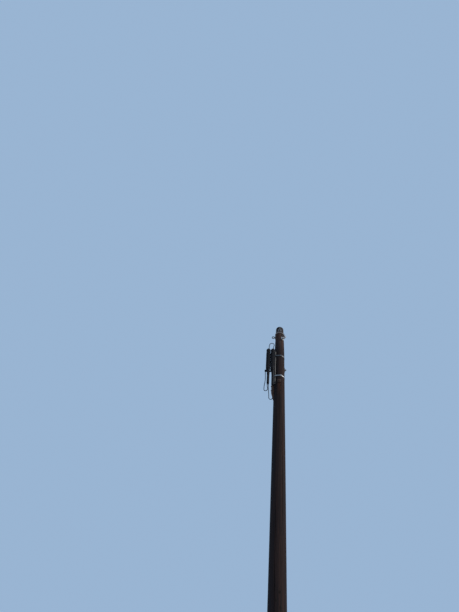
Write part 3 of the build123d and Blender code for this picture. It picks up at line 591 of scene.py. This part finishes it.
zinc = galvanised("galvanised_steel", 0.33, 0.58)
wire_zinc = galvanised("galvanised_wire", 0.26, 0.50, flake=420.0)
# The rail's zinc has about a fifth of the lightness of the plain zinc, and darker rust.
dark_rail_zinc = galvanised("dark_rail_steel", 0.065, 0.56, rust_light=0.6)
old_zinc = galvanised("old_galvanised_steel", 0.15, 0.54)
rusted = galvanised("rusted_steel", 0.07, 0.30, rust_light=0.24)


def strap_surface(name, light):
    """Brushed steel, stained, with its brush lines round the pole."""
    steel = Finish(name)
    brushed = steel.grain(steel.stretched(14, 2600), detail=3)
    stained = steel.grain(steel.place, scale=38, detail=6)
    grey = steel.ramp(0.6 * brushed + 0.4 * stained, (0.3, (0.4 * light,) * 3), (0.7, (light,) * 3))
    return steel.shine(
        base_color=steel.mix(steel.span(stained, 0.56, 0.72, 0.0, 0.7), grey, (0.10, 0.075, 0.06)),
        metallic=0.9, roughness=steel.span(stained, 0.35, 0.65, 0.34, 0.56),
        normal=steel.bump(brushed, 0.00012))


bright_strap, dull_strap = strap_surface("bright_strap", 0.42), strap_surface("dull_strap", 0.16)
print("metals:", [metal.name for metal in (zinc, wire_zinc, dark_rail_zinc, old_zinc, rusted, bright_strap)])

# %% [markdown]
# ## Black mouldings, sleeves and jackets
# The closures are moulded in black plastic that years of sun have left dull, with dust on what faces up and
# pale runs where rain has carried it down. The sleeves below are shrunk on, so they are a little shinier and
# wrinkle around the cables, and the jackets are plain black. The arms and bands are painted steel, which
# looks much the same. The normal says what faces up, so the dust needs no painting.

# %% Plastic and rubber surfaces
def weathered_black(name, base, rough, dust_amount, wrinkles=0.0):
    """A dull black with dust on top and in runs, and with rings of wrinkles where they are asked for."""
    black = Finish(name)
    facing = black.apart(black.add("ShaderNodeNewGeometry", output="Normal"))[2]
    clouds = black.grain(black.place, scale=34, detail=6)
    runs = black.grain(black.stretched(240, 5), detail=4)
    moulded = black.grain(black.place, scale=1500, detail=2)
    rings = black.grain(black.stretched(35, 420), detail=4)
    dust = black.span(facing + 0.9 * (clouds - 0.5), 0.25, 0.95) + black.span(runs, 0.55, 0.75, 0.0, 0.55)
    dust = (dust * dust_amount).maths("MINIMUM", 0.8)
    return black.shine(
        base_color=black.mix(dust, base, (0.065, 0.063, 0.07)), specular_ior_level=0.11,
        roughness=black.span(dust + 0.3 * (clouds - 0.5), 0.0, 0.6, rough, 0.85),
        normal=black.bump(0.25 * moulded + wrinkles * rings, 0.0004))


bracket = weathered_black("painted_bracket", (0.013, 0.013, 0.015), 0.5, 0.3)
moulding = weathered_black("weathered_moulding", (0.0058, 0.0060, 0.0090), 0.58, 0.11)
sleeve = weathered_black("shrunk_sleeve", (0.0054, 0.0056, 0.0080), 0.50, 0.10, wrinkles=1.4)
jacket = weathered_black("cable_jacket", (0.0050, 0.0056, 0.0085), 0.5, 0.12)
for piece in cables:
    piece.data.materials.append(jacket)
print("blacks:", [black.name for black in (bracket, moulding, sleeve, jacket)])

# %% [markdown]
# ## The closures' domes
# Each closure is a tall moulded dome whose wall leans in a little, so that it leaves its mould. Its ribs keep
# an upright outer line, so they grow taller upwards, and a notch in them holds the clamp band. A rib could be
# a separate bar, but a moulded rib grows out of the wall with a small radius. So the dome is spun from its
# outline, and the columns of edges that lie on a rib are drawn outwards by a smooth bump, as a mould would
# press them.

# %% Mould the domes
dome_axes = {"closure_a": (-0.172, -0.086), "closure_b": (-0.104, -0.086)}
dome_foot, dome_top, foot_radius, crown_radius, crown_round = 6.592, 7.006, 0.0298, 0.0288, 0.011
rib_count, rib_columns, rib_half_width, rib_squareness = 16, 14, 0.0021, 6
rib_reach, low_rib = 0.0339, 0.0024
rib_foot_gap, rib_foot_fade, rib_crown_fade = 0.021, 0.007, 0.009
band_height, band_half_zone, notch_slope = 6.94, 0.020, 0.008
wall_rows, cable_hole, rim_turns = 60, 0.009, (15, 30, 45, 60, 75, 90)
straight_top = dome_top - crown_round


def wall_radius(height):
    """The drafted wall, without its ribs."""
    return foot_radius + (crown_radius - foot_radius) * (height - dome_foot) / (dome_top - dome_foot)


def rib_rise(height):
    """How far a rib stands out: low in the band's notch, and nothing at the rib's two ends."""
    clear_of_band = min(1, max(0, (abs(height - band_height) - band_half_zone) / notch_slope))
    full = low_rib + (rib_reach - wall_radius(height) - low_rib) * clear_of_band
    from_foot = max(0, (height - dome_foot - rib_foot_gap) / rib_foot_fade)
    to_crown = max(0, (straight_top - height) / rib_crown_fade)
    return full * (1 - (1 - min(1, from_foot, to_crown)) ** 2)


for closure, (x, y) in dome_axes.items():
    bm = bmesh.new()
    heights = [dome_foot + (straight_top - dome_foot) * i / wall_rows for i in range(wall_rows + 1)]
    outline = [(0, dome_foot), (foot_radius * 0.7, dome_foot)]
    outline += [(wall_radius(height), height) for height in heights]
    outline += [(wall_radius(straight_top) - crown_round * (1 - cos(radians(turn))),
                 straight_top + crown_round * sin(radians(turn))) for turn in rim_turns]
    outline += [(cable_hole, dome_top), (0, dome_top)]
    points = [bm.verts.new((reach, 0, height)) for reach, height in outline]
    edges = [bm.edges.new(pair) for pair in zip(points, points[1:])]
    bmesh.ops.spin(bm, geom=points + edges, cent=(0, 0, 0), axis=(0, 0, 1), angle=2 * pi,
                   steps=rib_count * rib_columns, use_merge=True)
    bmesh.ops.remove_doubles(bm, verts=bm.verts, dist=1e-6)
    bmesh.ops.recalc_face_normals(bm, faces=bm.faces)
    for v in bm.verts:
        reach = hypot(v.co.x, v.co.y)
        if reach < 0.6 * crown_radius:
            continue
        azimuth = atan2(v.co.y, v.co.x)
        beside = (azimuth * rib_count / (2 * pi) + 0.5) % 1 - 0.5
        aside = abs(beside) * 2 * pi * reach / rib_count / rib_half_width
        out = rib_rise(v.co.z) / (1 + aside ** rib_squareness)
        v.co.x += out * cos(azimuth)
        v.co.y += out * sin(azimuth)
    bmesh.ops.translate(bm, verts=bm.verts, vec=(x, y, 0))
    for face in bm.faces:
        face.smooth = True
    shell = finished(bm, closure + "_ribbed_dome", "black_housing", moulding, replaced=[closure + "_dome"])
    print(shell.name, len(shell.data.polygons), "faces")

# %% [markdown]
# ## The timber cleat
# A short tapered piece of sawn red-brown timber sits on the log below the closures. It is younger than the
# log, so its colour is warmer and its grain finer, and the saw has left faint lines across it. Its shape is
# the ready-made solid's, so it only needs a surface: the log's recipe with fewer layers.

# %% The cleat's surface
cleat_wood = Finish("cleat_timber")
cleat_streaks = cleat_wood.grain(cleat_wood.stretched(260, 7), detail=6, distortion=0.4)
cleat_clouds = cleat_wood.grain(cleat_wood.stretched(30, 9), detail=4)
saw_lines = cleat_wood.grain(cleat_wood.stretched(20, 900), detail=2)
cleat_tone = 0.6 * cleat_streaks + 0.4 * cleat_clouds
cleat_wood.shine(
    base_color=cleat_wood.ramp(
        cleat_tone, (0.3, (0.03, 0.014, 0.009)), (0.5, (0.095, 0.043, 0.024)),
        (0.72, (0.19, 0.098, 0.056))),
    roughness=0.82, normal=cleat_wood.bump(cleat_streaks + 0.35 * saw_lines, 0.0007))
print("cleat surface:", len(cleat_wood.tree.nodes), "nodes")

# %% [markdown]
# ## Wound strand
# Seven twisted wires make the strand that is wound twice round the pole's head. A single round bar would look
# like a hoop. A curve whose section is a ring of six round lobes, and whose tilt turns steadily along the
# way, is the twisted lay of the real strand in one spline. The curve is made a mesh at the end, so that its
# doubles can be merged and its surface has coordinates of its own.

# %% Wind the strand
strand_radius, strand_pitch, strand_sweep = 0.0045, 0.0105, 765.0
wrap_height, wrap_start, lay_length, seat = 7.443, 215.0, 0.085, 0.0004
wire_count, groove_share, lobe_steps, stations = 6, 0.20, 48, 255
section = bpy.data.curves.new("strand_section", "CURVE")
section.dimensions = "2D"
lobes = section.splines.new("POLY")
lobes.points.add(lobe_steps - 1)
for i, point in enumerate(lobes.points):
    angle = 2 * pi * i / lobe_steps
    lobe = abs(cos(wire_count / 2 * angle)) ** 0.6
    reach = strand_radius * (1 - groove_share + groove_share * lobe)
    point.co = (reach * cos(angle), reach * sin(angle), 0, 1)
lobes.use_cyclic_u = True
section_object = bpy.data.objects.new("strand_section", section)

winding = bpy.data.curves.new("wound_strand", "CURVE")
winding.dimensions = "3D"
winding.twist_mode = "MINIMUM"
line = winding.splines.new("POLY")
line.points.add(stations - 1)
low = wrap_height - strand_pitch * strand_sweep / 360 / 2
for i, point in enumerate(line.points):
    angle = strand_sweep * i / (stations - 1)
    height = low + strand_pitch * angle / 360
    reach = pole_radius(height - strand_radius) + strand_radius + seat
    turn = radians(wrap_start + angle)
    point.co = (reach * cos(turn), reach * sin(turn), height, 1)
    point.tilt = 2 * pi * radians(angle) * reach / lay_length
winding.bevel_mode = "OBJECT"
winding.bevel_object = section_object
winding.use_fill_caps = True
wound = bpy.data.objects.new("wound_strand", winding)
scene.collection.objects.link(wound)
bpy.context.view_layer.update()
wound_mesh = bpy.data.meshes.new_from_object(wound.evaluated_get(bpy.context.evaluated_depsgraph_get()))
bpy.data.objects.remove(wound)
bpy.data.objects.remove(section_object)
bm = bmesh.new()
bm.from_mesh(wound_mesh)
bmesh.ops.remove_doubles(bm, verts=bm.verts, dist=1e-6)
bmesh.ops.recalc_face_normals(bm, faces=bm.faces)
for face in bm.faces:
    face.smooth = True
strand = finished(bm, "twisted_strand", "strand_wire", wire_zinc, replaced=["strand_wrap"])
print("strand:", len(strand.data.polygons), "faces")

# %% [markdown]
# ## Surfaces for the solid parts
# The record names a material slot for each solid part, so one table from slot to surface dresses them all.
# A few parts are darker than the rest of their slot, and a second table gives those their own: the rail and
# the upper strap are dark, and the eye bolts are old zinc.

# %% Give the solid parts their surfaces
surfaces = {
    "weathered_wood": timber.material, "cleat_wood": cleat_wood.material, "galvanised_steel": zinc,
    "rusted_steel": rusted, "strand_wire": wire_zinc, "stainless_strap": bright_strap,
    "painted_bracket": bracket, "black_housing": moulding, "shrink_sleeve": sleeve, "cable_jacket": jacket,
}
own_surfaces = {"mounting_rail": dark_rail_zinc, "upper_strap": dull_strap, "upper_strap_buckle": dull_strap}
own_surfaces |= {bolt + kind: old_zinc for bolt in ("front_eye", "side_eye", "mid_eye")
                 for kind in ("_bolt", "_washers", "_nut")}
slot_of = {part["node"]: part["material_slot"] for part in frame["record"]["subparts"]}


def surface_of(node):
    return own_surfaces.get(node, surfaces[slot_of[node]])


for node in slot_of:
    mesh = solids[node].data
    mesh.materials.clear()
    mesh.materials.append(surface_of(node))
print("surfaced", len(slot_of), "solid parts,", len(own_surfaces), "of them with their own")

# %% [markdown]
# ## Eased edges
# No forged, pressed or moulded edge is perfectly sharp, and it is the thin bright line along an edge that
# makes metal read as metal. A solid's mesh is loose triangles, and it is left alone. A copy of it takes its
# place: a Weld modifier first joins the copy's corners, and a Bevel then rounds every edge that turns sharply
# by about half a millimetre. The wood of the cleat is softer, so its edges are rounder. The two domes stand
# in their solids' place already, so they are passed over.

# %% Ease the edges of the solid parts
edge_widths = {"galvanised_steel": 0.0006, "rusted_steel": 0.0006, "painted_bracket": 0.0005,
               "black_housing": 0.0005, "stainless_strap": 0.00025, "cleat_wood": 0.0012}
same_corner, sharp_turn = 1e-5, radians(40)


def eased_copy(node, slot):
    """A copy of a solid part with its corners joined and its sharp edges rounded."""
    piece = bpy.data.objects.new(node + "_eased", solids[node].data.copy())
    scene.collection.objects.link(piece)
    weld = piece.modifiers.new("joined corners", "WELD")
    weld.merge_threshold = same_corner
    bevel = piece.modifiers.new("eased edges", "BEVEL")
    bevel.width = edge_widths[slot]
    bevel.segments = 2
    bevel.limit_method = "ANGLE"
    bevel.angle_limit = sharp_turn
    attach(piece, "root")
    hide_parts(node)
    return piece


eased = [eased_copy(node, slot) for node, slot in slot_of.items()
         if slot in edge_widths and not node.endswith("_dome")]
print("eased", len(eased), "solid parts")

# %% [markdown]
# ## Cut threads
# Where a bolt's tail shows past its nut, the thread shows too. A thread is one triangular ridge that climbs
# one pitch each turn. Spin sweeps a triangle round the bolt's axis and moves it a little along at each step,
# which is exactly how a lathe cuts it, and both ends of the ridge are closed with a face. The ridge's foot is
# sunk into the bolt, so it grows out of it. The heights and radii are the real bolts' own, and the solids'
# boxes say where a nut ends and where its bolt ends.

# %% Cut the threads
turn_steps, ridge_foot, ridge_top, ridge_half = 32, -0.0006, 0.0004, 0.45
end_margin = 1.2


def cut_thread(name, node, axis, centre, start, end, radius, pitch):
    """A ridge round a bolt's tail from its nut to just short of its end, along +X or +Y."""
    along = Vector(axis)
    turns = (end - start - end_margin * pitch) / pitch
    steps = round(turn_steps * turns)
    first_ridge = centre + along * (start + pitch / 2)
    corners = [(ridge_foot, -ridge_half), (ridge_top, 0), (ridge_foot, ridge_half)]
    bm = bmesh.new()
    points = [bm.verts.new(first_ridge + along * (shift * pitch) + Vector((0, 0, radius + rise)))
              for rise, shift in corners]
    edges = [bm.edges.new(pair) for pair in zip(points, points[1:] + points[:1])]
    bmesh.ops.spin(bm, geom=points + edges, cent=centre, axis=along, dvec=along * pitch / turn_steps,
                   angle=2 * pi * steps / turn_steps, steps=steps)
    bmesh.ops.holes_fill(bm, edges=[e for e in bm.edges if e.is_boundary], sides=3)
    bmesh.ops.recalc_face_normals(bm, faces=bm.faces)
    return finished(bm, name, slot_of[node], surface_of(node))


def far_face(node, way):
    """How far a part reaches along +X or +Y."""
    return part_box(node)[1][way]


bolt_radius, bolt_pitch, jaw_radius, jaw_pitch = 0.008, 0.002, 0.005, 0.0015
jaw_height, jaw_spread, jaw_nut_depth = 6.345, 0.052, 0.0081
bolt_tails = [("front_eye", 1, 7.5), ("side_eye", 0, 7.39), ("mid_eye", 0, 6.639),
              ("messenger", 1, jaw_height)]
threads = []
for bolt, way, height in bolt_tails:
    axis = [(1, 0, 0), (0, 1, 0)][way]
    nut_face, tail_end = far_face(bolt + "_nut", way), far_face(bolt + "_bolt", way)
    threads.append(cut_thread(bolt + "_thread", bolt + "_bolt", axis, Vector((0, 0, height)),
                              nut_face, tail_end, bolt_radius, bolt_pitch))
jaw_nut_face = far_face("messenger_outer_plate", 1) + jaw_nut_depth
jaw_end = far_face("messenger_jaw_bolts", 1)
for side, hand in ((-1, "left"), (1, "right")):
    threads.append(cut_thread("jaw_thread_" + hand, "messenger_jaw_bolts", (0, 1, 0),
                              Vector((jaw_spread * side, 0, jaw_height)),
                              jaw_nut_face, jaw_end, jaw_radius, jaw_pitch))
print("threads:", [(piece.name, len(piece.data.polygons)) for piece in threads])
